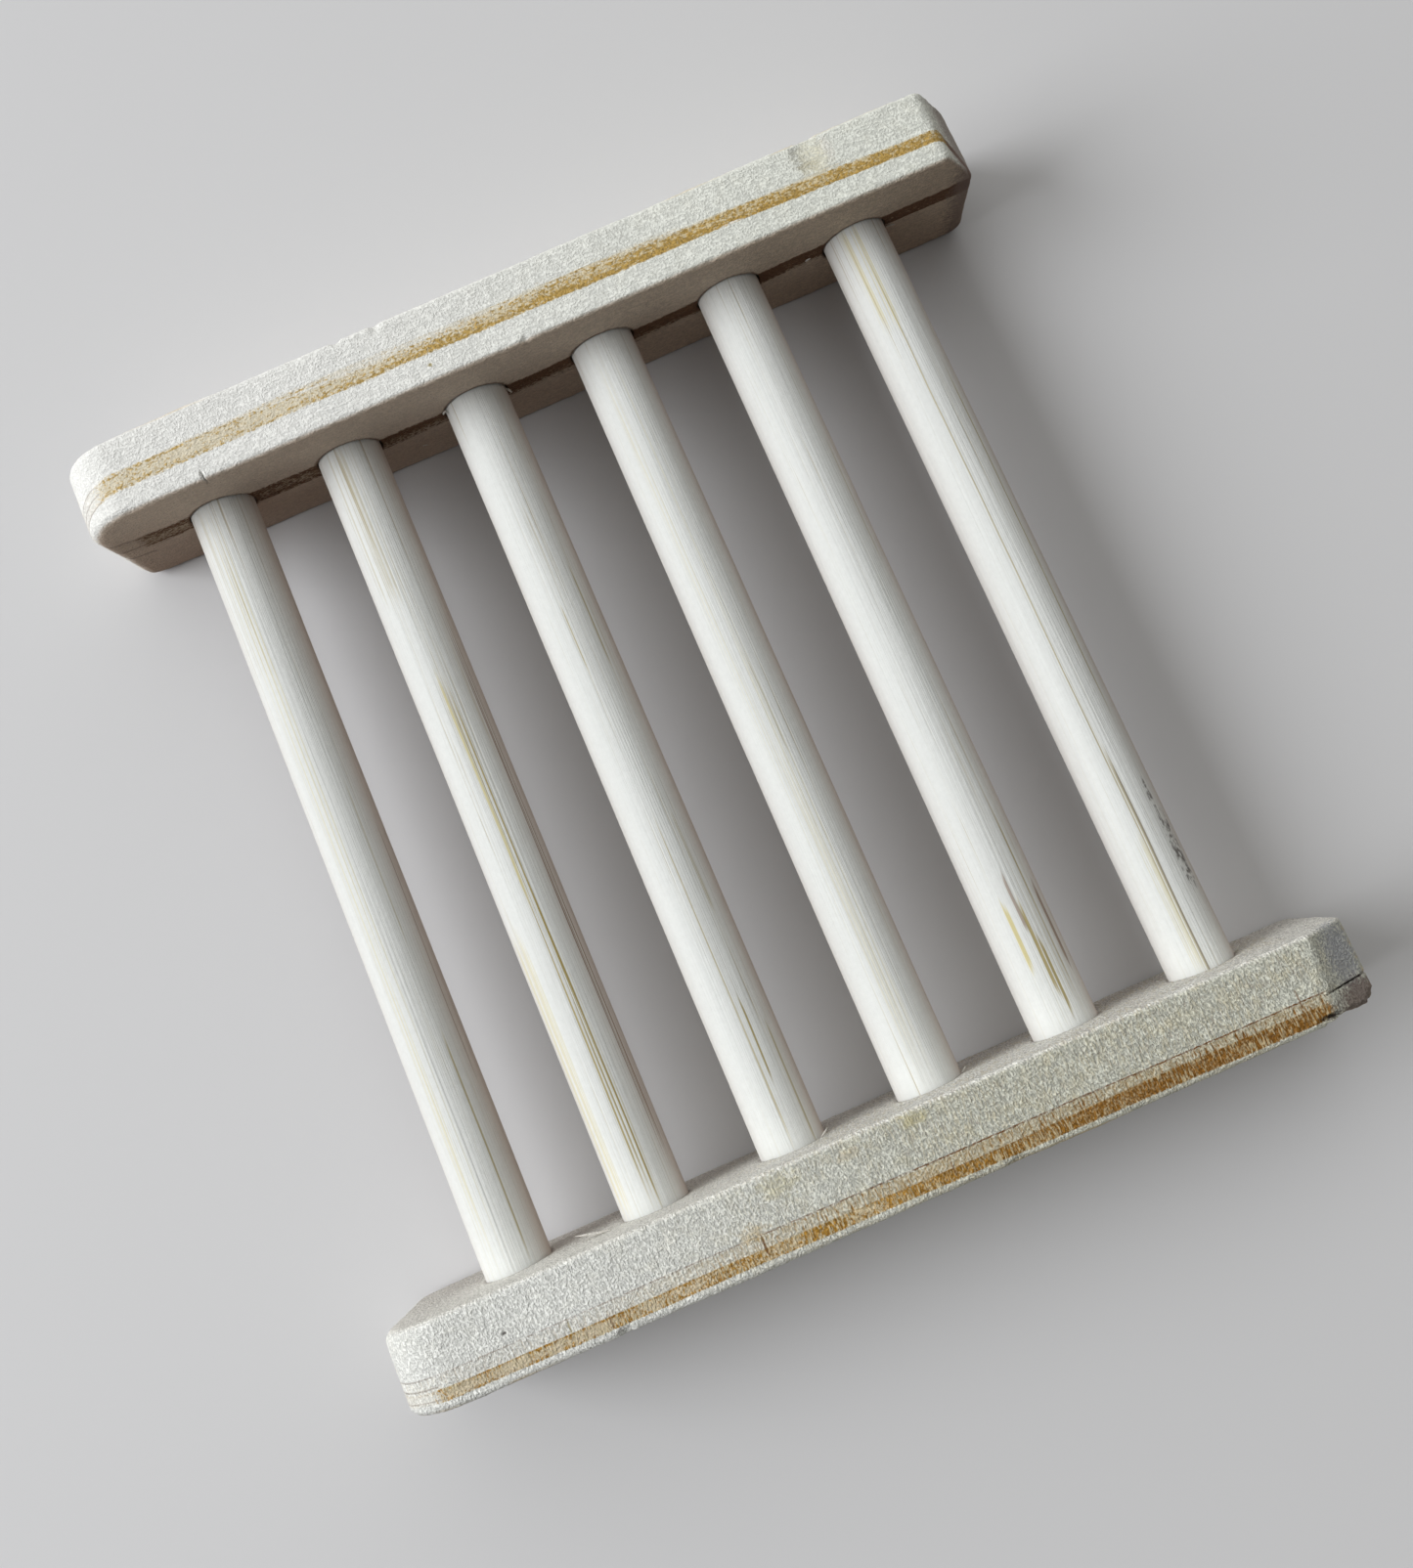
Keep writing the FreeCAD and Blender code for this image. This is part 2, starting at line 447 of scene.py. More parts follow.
def outlineLoop(corners):
    # a fine closed path of (x, z, normal x, normal z) round a convex outline, counter-clockwise, with each
    # corner (x, z, radius) rounded, and the places of the corners' middles on it
    steps = railForm["arcSteps"]
    path, middles = [], []
    for i, (x, z, radius) in enumerate(corners):
        here = np.array((x, z))
        before = here - corners[i - 1][:2]
        after = np.array(corners[(i + 1) % len(corners)][:2]) - here
        before = before / np.hypot(*before)
        after = after / np.hypot(*after)
        turn = math.atan2(before[0] * after[1] - before[1] * after[0], before @ after)
        start = math.atan2(-before[0], before[1])
        tangent = here - before * radius * math.tan(turn / 2)
        centre = tangent - radius * np.array((math.cos(start), math.sin(start)))
        middles.append(len(path) + steps // 2)
        for angle in np.linspace(start, start + turn, steps + 1):
            normal = np.array((math.cos(angle), math.sin(angle)))
            path.append((*(centre + radius * normal), *normal))
    path = np.array(path + path[:1])
    length = np.concatenate([[0], np.cumsum(np.hypot(*np.diff(path[:, :2], axis=0).T))])
    fine = np.arange(0, length[-1], railForm["pathStep"])
    loop = np.stack([np.interp(fine, length, column) for column in path.T], 1)
    return loop, np.searchsorted(fine, length[middles])


def sideSamples(loop, first, last, count, spots):
    # count + 1 samples of the loop between two places, closer where x is near a spot
    side = loop[np.arange(first, last + 1) % len(loop)]
    measure = np.cumsum(crowding(side[:, 0], spots))
    targets = np.linspace(measure[0], measure[-1], count + 1)
    return np.stack([np.interp(targets, measure, column) for column in side.T], 1)


def patch(bottom, right, top, left):
    # a grid of points that fills four sides, which meet at their ends and run from low to high
    u = np.linspace(0, 1, len(bottom))[:, None, None]
    v = np.linspace(0, 1, len(left))[None, :, None]
    ruled = (1 - v) * bottom[:, None] + v * top[:, None] + (1 - u) * left[None] + u * right[None]
    low = (1 - u) * (1 - v) * bottom[0] + u * (1 - v) * bottom[-1]
    return ruled - (low + (1 - u) * v * top[0] + u * v * top[-1])


def gridFaces(rows, columns, start, wrapped):
    # quads of a grid of points stored row by row, closed from the last row to the first if wrapped
    index = np.arange(rows * columns).reshape(rows, columns) + start
    if wrapped:
        index = np.vstack([index, index[:1]])
    return np.stack([index[:-1, :-1], index[1:, :-1], index[1:, 1:], index[:-1, 1:]], -1).reshape(-1, 4)


def roughness(points, size, octaves, seed):  # smooth random values of about -1 to 1
    offset = Vector((seed, seed * 1.7, seed * 0.6))
    return np.array([noise.fractal(Vector(p) / size + offset, 1.0, 2.0, octaves) for p in points])


def railSurface(rail, low, high):
    # points, outward normals and faces of a rail with flat faces and eased edges
    form = railForm
    thick = high.y - low.y
    corners = [
        (low.x, low.z, form["footRadius"]),
        (high.x, low.z, form["footRadius"]),
        (high.x, high.z - rail["cutHeight"], form["cornerRadius"]),
        (high.x - rail["cutWidth"], high.z, form["cornerRadius"]),
        (low.x, high.z, rail["leftRound"]),
    ]
    loop, middle = outlineLoop(corners)
    along = len(spread(low.x, high.x, form["spacing"], rail["fine"])) - 1
    tall = round((high.z - low.z) / form["spacing"])
    sides = [
        sideSamples(loop, middle[0], middle[1], along, rail["fine"]),
        sideSamples(loop, middle[1], middle[3], tall, []),
        sideSamples(loop, middle[3], middle[4], along, rail["fine"]),
        sideSamples(loop, middle[4], middle[0] + len(loop), tall, []),
    ]
    outline = np.vstack([side[:-1] for side in sides])
    flat, outward = outline[:, :2], outline[:, 2:]
    nearEnd = np.clip(1 - (flat[:, 0] - low.x) / form["easeReach"], 0, 1)
    ease = form["easeEdge"] + (form["easeEnd"] - form["easeEdge"]) * nearEnd

    # strips over the thickness: round the inner edge, straight across, round the outer edge
    points, normals = [], []

    def strip(sideways, depth, facing):
        place = flat - ((1 - sideways) * ease)[:, None] * outward
        points.append(np.stack([place[:, 0], depth, place[:, 1]], 1))
        lean = outward * sideways
        normals.append(np.stack([lean[:, 0], np.full(len(flat), facing), lean[:, 1]], 1))

    quarter = np.linspace(math.pi / 2, 0, form["roundSteps"] + 1)
    for angle in quarter:
        strip(math.cos(angle), (1 - math.sin(angle)) * ease, -math.sin(angle))
    for depth in spread(0, thick, form["spacing"], rail["fineDepth"])[1:-1]:
        strip(1.0, ease + depth / thick * (thick - 2 * ease), 0.0)
    for angle in quarter[::-1]:
        strip(math.cos(angle), thick - (1 - math.sin(angle)) * ease, math.sin(angle))
    faces = [gridFaces(len(flat), len(points), 0, True)]
    points = [np.stack(points, 1).reshape(-1, 3)]
    normals = [np.stack(normals, 1).reshape(-1, 3)]

    # the inner and outer faces
    rim = flat - ease[:, None] * outward
    rim = np.vstack([rim, rim[:1]])
    cuts = np.cumsum([0] + [len(side) - 1 for side in sides])
    bottom, right, top, left = [rim[cuts[i]:cuts[i + 1] + 1] for i in range(4)]
    face = patch(bottom, right, top[::-1], left[::-1]).reshape(-1, 2)
    for depth, facing in ((0.0, -1.0), (thick, 1.0)):
        faces.append(gridFaces(along + 1, tall + 1, sum(len(p) for p in points), False))
        points.append(np.stack([face[:, 0], np.full(len(face), depth), face[:, 1]], 1))
        normals.append(np.tile((0.0, facing, 0.0), (len(face), 1)))
    points, normals, faces = np.vstack(points), np.vstack(normals), np.vstack(faces)

    # the cut at the right end runs a little askew across the rail
    cutStart = high.x - rail["cutWidth"]
    askew = np.interp(points[:, 0], [cutStart - form["skewReach"], cutStart, high.x], [0, 1, 0])
    points[:, 0] += askew * rail["cutSkew"] * (points[:, 1] - thick / 2)
    return points, normals, faces


def woundDepth(points, wounds, rough):
    # how far chips, dents and cracks push the surface in
    push = np.zeros(len(points))
    for wound in wounds:
        offset = points - wound["at"]
        offset[:, 1] -= wound.get("slant", 0) * offset[:, 0]
        reach = np.linalg.norm(offset / wound["reach"], axis=1) + woundForm["ragged"] * rough
        steep = wound.get("steep", woundForm["steep"])
        push = np.maximum(push, wound["depth"] * np.clip((1 - reach) * steep, 0, 1))
    return push


def newPiece(name, points, faces, triangles=False):
    # a closed mesh; triangles leave no slivers where a Boolean cuts it
    mesh = bpy.data.meshes.new(name)
    mesh.from_pydata((points * mm).tolist(), [], faces.tolist())
    work = bmesh.new()
    work.from_mesh(mesh)
    bmesh.ops.remove_doubles(work, verts=work.verts, dist=railForm["weld"] * mm)
    rims = [edge for edge in work.edges if edge.is_boundary]
    if rims:
        bmesh.ops.holes_fill(work, edges=rims, sides=0)
    bmesh.ops.recalc_face_normals(work, faces=work.faces)
    if triangles:
        bmesh.ops.triangulate(work, faces=work.faces)
    work.to_mesh(mesh)
    work.free()
    piece = bpy.data.objects.new(name, mesh)
    scene.collection.objects.link(piece)
    return piece


def circle(around):  # angles all round
    return np.arange(around) * (2 * math.pi / around)


def tube(rings, around):
    # points and faces of a closed tube, with rings of (centre, radius across, radius up, across, up)
    angles = circle(around)
    points = [centre + np.outer(np.cos(angles) * wide, across) + np.outer(np.sin(angles) * tall, up)
              for centre, wide, tall, across, up in rings]
    points = np.stack(points, 1).reshape(-1, 3)
    return points, gridFaces(around, len(rings), 0, True)


def splinterMesh(splinter):
    # a thin tapered sliver of wood that starts in the face and curls away from it
    form = splinterForm
    along = Vector(splinter["along"]).normalized()
    across = along.cross(Vector((0, 1, 0))).normalized()
    up = across.cross(along)
    length, width = splinter["length"], splinter["width"]
    root = form["rootWidth"]
    rings = []
    for t in np.linspace(0, 1, form["steps"] + 1):
        swell = max(form["tip"], math.sin(math.pi * min(1, root + (1 - root) * t)))
        centre = np.array(splinter["at"]) + np.array(along) * length * (t - form["rooted"])
        centre = centre + np.array((0, -1, 0)) * form["curl"] * t * t
        rings.append((centre, width / 2 * swell, width / 5 * swell, np.array(across), np.array(up)))
    return tube(rings, form["around"])


def dowelAxis(node):  # x, z and radius of a dowel
    low, high = (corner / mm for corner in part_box(node))
    return (low.x + high.x) / 2, (low.z + high.z) / 2, (high.x - low.x) / 2


def holeCutter(rail):
    # noisy cylinders, a little wider than the dowels, with torn rims
    form = holeForm
    around = form["around"]
    angles = circle(around)
    points, faces = [], []
    count = 0
    for number, node in enumerate(dowelNodes):
        x, z, radius = dowelAxis(node)
        rim = np.stack([np.cos(angles), np.sin(angles), np.full(around, number * form["apart"])], 1)
        torn = np.clip(roughness(rim * form["fineness"], 1.0, 3, rail["seed"]), -0.8, 1.4)
        rows = []
        for depth, flare in (*form["flares"], (holeDepth, form["floorFlare"])):
            reach = radius + rail["holeGap"] + rail["holeGap"] * form["tearing"] * flare * torn
            wall = [x + reach * np.cos(angles), np.full(around, depth), z + reach * np.sin(angles)]
            rows.append(np.stack(wall, 1))
        points.append(np.stack(rows, 1).reshape(-1, 3))
        faces.append(gridFaces(around, len(rows), count, True))
        count += len(points[-1])
    return np.vstack(points), np.vstack(faces)


def cutHoles(piece, cutter):
    cut = piece.modifiers.new("holes", "BOOLEAN")
    cut.operation = "DIFFERENCE"
    cut.solver = "EXACT"
    cut.object = cutter
    depsgraph = bpy.context.evaluated_depsgraph_get()
    drilled = bpy.data.meshes.new_from_object(piece.evaluated_get(depsgraph))
    piece.modifiers.clear()
    piece.data = drilled
    bpy.data.objects.remove(cutter)


def addSplinters(piece, splinters, world):
    work = bmesh.new()
    work.from_mesh(piece.data)
    bare = work.verts.layers.float.new("bare")  # 1 on the splinters, for their colour
    for splinter in splinters:
        points, faces = splinterMesh(splinter)
        sliver = newPiece("sliver", world(points), faces)
        before = len(work.verts)
        work.from_mesh(sliver.data)
        work.verts.ensure_lookup_table()
        for vertex in work.verts[before:]:
            vertex[bare] = 1.0
        bpy.data.objects.remove(sliver)
    work.to_mesh(piece.data)
    work.free()


def buildRail(rail):
    low, high = (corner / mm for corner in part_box(rail["node"]))
    innerFace = low.y if rail["depthSign"] > 0 else high.y

    def world(points):  # from depth in the rail to the frame's Y
        spots = points.copy()
        spots[:, 1] = innerFace + rail["depthSign"] * points[:, 1]
        return spots

    form, seed = railForm, rail["seed"]
    points, normals, faces = railSurface(rail, low, high)
    wave = roughness(points, form["waveSize"], 2, seed)
    fuzz = roughness(points, form["fuzzSize"], 3, seed + 5)
    ragged = np.clip(roughness(points, form["raggedSize"], 3, seed + 9), 0, 1.5)
    edge = 2 * np.abs(normals[:, 1]) * np.hypot(normals[:, 0], normals[:, 2])  # 1 on the eased edges
    swell = form["wave"] * (wave - form["waveSink"]) + form["fuzz"] * (fuzz - form["fuzzSink"])
    swell -= form["ragged"] * edge * ragged
    swell -= woundDepth(points, rail["wounds"], fuzz)
    points = points + normals * swell[:, None]
    points = np.clip(points, (low.x, 0, low.z), (high.x, high.y - low.y, high.z))
    piece = newPiece(rail["node"] + "_wood", world(points), faces, True)
    cutterPoints, cutterFaces = holeCutter(rail)
    cutHoles(piece, newPiece(rail["node"] + "_cutter", world(cutterPoints), cutterFaces, True))
    addSplinters(piece, rail["splinters"], world)
    piece.data.shade_smooth()
    piece.data.set_sharp_from_angle(angle=math.radians(form["sharpAngle"]))
    piece.data.materials.clear()
    piece.data.materials.append(railWood(rail, innerFace, low, high))
    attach(piece, "root")
    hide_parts(rail["node"])
    return piece


# Wood of the rails: fields of noise, with their fineness along x, y and z, detail and roughness
railNoise = {
    "slow": ((0.035, 0.15, 0.15), 3.0, 0.5),  # how the growth rings stray
    "drift": ((0.16, 0.3, 0.3), 2.0, 0.5),    # fuller and emptier stretches of late wood
    "cloud": ((0.6, 0.6, 0.6), 2.0, 0.5),     # blotches
    "grain": ((0.06, 3.0, 3.0), 3.0, 0.5),    # fibres along the rail
    "whisker": ((4.6, 0.8, 0.8), 2.0, 0.6),   # fibres pulled up across it
    "wobble": ((1.5, 1.5, 1.5), 2.0, 0.6),
    "speckle": ((4.2, 4.2, 4.2), 2.0, 0.6),
    "rings": ((0.011, 0.4, 0.12), 1.0, 0.4),  # growth rings on the outer face
}
railZones = {
    "left": (-32.0, -8.0),    # x, over which the left part turns into the middle
    "cap": (-46.3, -45.3),    # x, right of the left end
    "widening": (8.0, 30.0),  # x, over which the late wood takes its other width
    "side": (0.5, 2.5),       # below the top face
    "inner": (0.1, 0.5),      # behind the inner face
    "outer": (0.5, 0.15),     # before the outer face
    "end": (0.7, 0.35),       # before the ends, and how softly that begins
    "crevice": (0.15, 0.6),   # round a dowel
    "creviceDepth": (0.8, 1.2),
}
ringBendAt = 50.0  # x at which a rail's bend counts in full


def railFields(finish, rail, innerFace, low, high):
    # where a point lies on the rail, and the noises that its colours are made of
    wood = SimpleNamespace()
    place = finish.place()
    wood.x, y, wood.z = finish.parts(place)
    wood.depth = (y - innerFace) * rail["depthSign"]
    wood.drop = high.z - wood.z
    for name, settings in railNoise.items():
        setattr(wood, name, finish.noise(place, *settings))
    wood.grit = finish.noise(place, rail["grit"], 2.0, 0.65)
    strokes = finish.noise(finish.turned(place, rail["strokes"]), rail["felt"], 2.0, 0.6)
    wood.nap = finish.step(wood.speckle * 0.5 + strokes * 0.5, 0.36, 0.64)  # how high the fibres stand

    # parts along the rail
    wood.rightward = finish.step(wood.x, *rail["turn"])
    wood.bandward = finish.step(wood.x, *rail["bandTurn"])
    wood.leftward = 1 - finish.step(wood.x, *railZones["left"])
    wood.leftCap = 1 - finish.step(wood.x + wood.nap.swing() * 1.2, *railZones["cap"])
    bandEnd = rail["bandEnd"]
    wood.ended = finish.step(wood.x + wood.wobble.swing() * 1.6, bandEnd - 0.4, bandEnd + 0.6)

    # its faces
    # the face below the top, where the back rail's late wood gets painted shade
    wood.side = finish.step(wood.drop, *railZones["side"]) * rail["sidePaintedShade"]
    wood.innerSkin = 1 - finish.step(wood.depth, *railZones["inner"])
    thick = high.y - low.y
    wood.outerSkin = finish.step(wood.depth, *(thick - before for before in railZones["outer"]))
    before, soft = railZones["end"]
    wood.endSkin = 1 - finish.near(wood.x, (low.x + high.x) / 2, (high.x - low.x) / 2 - before, soft)
    wood.smooth = wood.outerSkin.most(wood.endSkin) * 0.6
    return wood


def addLateWood(finish, rail, wood):
    # the ring coordinate runs across the band of late wood, where t is 0 at its crisp side and 1 at its
    # frayed side
    bow = wood.x * wood.x * (rail["bend"] / ringBendAt ** 2)
    wood.ring = wood.depth + wood.drop * rail["lean"] + wood.slow.swing() * 0.6
    wood.ring = wood.ring + wood.x * rail["tilt"] + bow
    width = rail["width"] + finish.step(wood.x, *railZones["widening"]) * rail["widen"]
    width = width * (1 - wood.drop * rail["narrow"])
    t = (wood.ring - rail["crisp"]) * rail["sideways"] / width
    frayed = t + wood.grain.swing() * (rail["fray"] * 2)
    plateau = rail["plateau"] + wood.rightward.most(wood.leftward) * ((0.9 - rail["plateau"]) * 0.8)
    wood.fade = 1 - finish.step(frayed, plateau, rail["frayEnd"])
    band = finish.step(t + wood.grit.swing() * 0.2, -0.05, 0.05)
    band = band * (1 - wood.leftCap * 0.85) * (1 - wood.ended)
    wood.band = band * finish.step(wood.fade, 0.0, 0.25)

    # how full of dark grains it is
    core = finish.near(t, 0.14, 0.08, 0.2) * (1 - wood.leftward * 0.5) * rail["core"]
    hollow = finish.near(t, 0.45, 0.1, 0.3) - finish.near(t, 0.9, 0.04, 0.1)
    # fuller down the back rail's inner face, as painted shade
    fullness = rail["fullness"] + wood.side * 0.4 + core - hollow * wood.leftward * rail["hollow"]
    fullness = fullness + wood.rightward * 0.2 - wood.leftward * 0.1 + wood.drift.swing() * rail["patchy"]
    for spot, reach in rail["dense"]:
        full = finish.near(wood.x + wood.cloud.swing() * 5, spot, reach * 0.8, reach * 0.5)
        fullness = fullness + full * 0.42
    tufts = finish.step(wood.drift + wood.speckle * 0.3, 0.46, 0.7) * rail["ticks"]
    wood.torn = finish.step(wood.whisker, 0.5, 0.57) * tufts    # pale fibres pulled up across the grain
    wood.split = finish.step(wood.whisker, 0.42, 0.34) * tufts  # and the dark gaps between them
    late = finish.step(wood.grit + wood.fade * fullness * 0.34, 0.6, 0.84)
    wood.late = late * wood.band * (1 - wood.torn * 0.8)


def plainColour(finish, rail, wood):
    # sanded wood, with a flat-sawn figure on the outer face and end grain on the ends
    colour = finish.blend(wood.rightward, rail["base"], rail["far"])
    blotches = finish.step(wood.cloud, 0.48, 0.66) * (0.25 + wood.rightward)
    colour = finish.blend(blotches * rail["mottle"], colour, tints["sand"])
    flatSawn = finish.growth(wood.rings * 15 + wood.grain.swing() * 0.3) * wood.outerSkin
    endGrain = finish.growth(wood.ring * 0.7 + wood.grain.swing() * 0.2) * wood.endSkin
    colour = finish.blend(flatSawn * 0.55 + endGrain * 0.45, colour, tints["figure"])
    # the inner face's own tone: on the back rail a darker, warmer tan that is painted shade
    innerToneAmount, innerToneColour = rail["innerTone"]
    colour = finish.blend(wood.innerSkin * innerToneAmount, colour, innerToneColour)
    contrast = rail["napContrast"] * (1 + wood.rightward * 0.55) * (1 - wood.smooth)
    shade = 1 + (wood.nap - 0.55) * contrast
    return finish.dim(colour, shade + wood.grain.swing() * 0.1 + wood.cloud.swing() * rail["cloud"])


def addBandColour(finish, rail, wood, colour):
    # dark grains of late wood, the tan that lies under them, and fibres
    dark = finish.blend(wood.bandward, rail["dark"], rail["darkFar"])
    # painted shade: the late wood is darker and browner down the back rail's shaded inner face
    dark = finish.blend(wood.side, dark, tints["rim"])
    dark = finish.dim(dark, 1 + wood.speckle.swing() * 2.0)
    under = finish.blend(wood.side * 0.6, finish.blend(wood.bandward, *rail["under"]), tints["umber"])
    under = finish.dim(under, 1 + wood.speckle.swing() * rail["ticks"])
    if rail["between"]:  # a tan zone beside the band
        start, end = rail["between"]
        inside = finish.step(wood.ring, start, start + 0.2) * (1 - finish.step(wood.ring, end - 0.4, end))
        flecked = finish.step(wood.speckle * 0.5 + wood.whisker * 0.5, 0.38, 0.62)
        tanned = inside * (0.12 + wood.rightward * 0.6) * (1 - wood.ended)
        filled = tanned * (1.15 - flecked * 0.7) * (1 - wood.torn * 0.7)
        colour = finish.blend(filled, colour, rail["fill"])
        colour = finish.blend(tanned * (wood.split * 1.1 + (1 - flecked) * 0.7), colour, dark)
    colour = finish.blend(wood.band * wood.fade * (0.7 + wood.bandward * 0.2), colour, under)
    colour = finish.blend(wood.late, colour, dark)
    fibrous = wood.band.most(wood.rightward * (1 - wood.ended) * 0.6)
    colour = finish.blend(wood.torn * fibrous * 0.6, colour, rail["fill"])
    return finish.blend(wood.split * fibrous * 0.5, colour, tints["brown"])


def addRailMarks(finish, rail, wood, colour):
    for line in rail["lines"]:  # thin broken lines along the rings
        width = line["width"]
        thin = finish.near(wood.ring + wood.nap.swing() * 0.08, line["ring"], width * 0.5, width)
        thin = thin * finish.step(wood.x + wood.cloud.swing() * 30, line["from"] - 6, line["from"] + 6)
        broken = (0.35 + finish.step(wood.wobble, 0.36, 0.58) * 0.65) * (1 - wood.ended)
        amount = thin * broken * (0.45 + wood.rightward * 0.55) * line["strength"]
        colour = finish.blend(amount, colour, tints["brown"])
    for ring in rail["endLines"]:  # fainter ones on the left end
        thin = finish.near(wood.ring + wood.nap.swing() * 0.06, ring, 0.03, 0.09) * wood.leftCap
        colour = finish.blend(thin * 0.45, colour, tints["umber"])
    # tinted spots: real stains, and painted shade on the cut faces, cracks and gaps at the right ends
    for tintSpot in rail["stainsAndShade"]:
        spot = zip((wood.x, wood.depth, wood.z), tintSpot["at"], tintSpot["reach"])
        offset = finish.gather(*((value - middle) / reach for value, middle, reach in spot))
        far = finish.length(offset) + wood.nap.swing() * 0.35
        far = far + wood.wobble.swing() * tintSpot.get("ragged", 0.3)
        amount = (1 - finish.step(far, 0.4, 1.0)) * tintSpot["strength"]
        if "ragged" in tintSpot:
            amount = amount * (0.35 + wood.nap * 0.75)
        colour = finish.blend(amount, colour, tints[tintSpot["tint"]])
    # painted shade round each dowel where it enters the rail, strongest on the back rail
    start, end = railZones["crevice"]
    shallow = (1 - finish.step(wood.depth, *railZones["creviceDepth"])) * rail["rim"]
    for node in dowelNodes:  # painted shade in the crevice round each dowel
        axisX, axisZ, radius = dowelAxis(node)
        far = finish.length(finish.gather(wood.x - axisX, 0.0, wood.z - axisZ))
        crevice = 1 - finish.step(far + wood.wobble.swing() * 0.5, radius + start, radius + end)
        colour = finish.blend(crevice * shallow, colour, tints["rim"])
    bare = finish.add("Attribute", {"attribute_name": "bare"}, {}, "Fac")  # splinters
    return finish.blend(bare, colour, tints["pale"])


def railWood(rail, innerFace, low, high):
    finish = Finish(bpy.data.materials.new(rail["node"] + "_pine"))
    wood = railFields(finish, rail, innerFace, low, high)
    addLateWood(finish, rail, wood)
    colour = plainColour(finish, rail, wood)
    colour = addBandColour(finish, rail, wood, colour)
    colour = addRailMarks(finish, rail, wood, colour)
    height = wood.nap * (1 - wood.smooth) + wood.torn * 0.4 - wood.split * 0.3
    height = height + wood.band * wood.fade * wood.grit.swing()
    return finish.wear(
        Base_Color=colour, Roughness=0.82 + wood.nap * 0.15, Specular_IOR_Level=0.18,
        Normal=finish.bump(height, rail["napDepth"]),
    )


# Dowels. A streak lies at an angle round the dowel (0 right, 90 top, 180 left), from one Y to another;
# pins splits a wide streak into thin lines, and mottled breaks it into flecks
dowelForm = {
    "around": 72, "spacing": 0.4, "chamfer": 0.6, "sharpAngle": 40,
    "endRoom": 0.3,  # between a dowel's end and the floor of its hole
    "lathe": 0.03, "latheFineness": (0.3, 0.05, 0.3),  # slow unevenness
    "ridge": 0.02, "ridgeFineness": (1.1, 0.03, 1.1),  # facets along the dowel
    "sink": 0.8,     # keeps both below the solid's face
}
dowelLook = {
    "base": paint(226, 228, 226), "grain": paint(208, 204, 188), "groove": paint(162, 146, 112),
    "backEnd": (18.0, 41.0),  # y, over which the grain grows stronger
    "endLines": (0.08, 0.08, 0.05, 0.03, 0.02, 0.08),  # how strongly, dowel by dowel
    # the lower sides are painted browner, as warm reflected light in their shade: how much on the left and
    # on the right, and over which heights above the axis and from where to where across it, in radii
    "low": paint(186, 160, 142), "shadeAmount": (0.2, 0.65), "shadeSpan": (0.05, 0.95), "shadeTurn": (-0.7, 0.5),
}
dowelNoise = {  # fineness along x, y and z, detail and roughness
    "fine": ((4.2, 0.03, 4.2), 3.0, 0.6),
    "broad": ((1.0, 0.03, 1.0), 2.0, 0.5),
    "waver": ((0.1, 0.06, 0.1), 1.0, 0.5),
    "flecks": ((2.4, 1.2, 2.4), 2.0, 0.6),
    "pins": ((5.0, 0.012, 5.0), 1.0, 0.6),
}
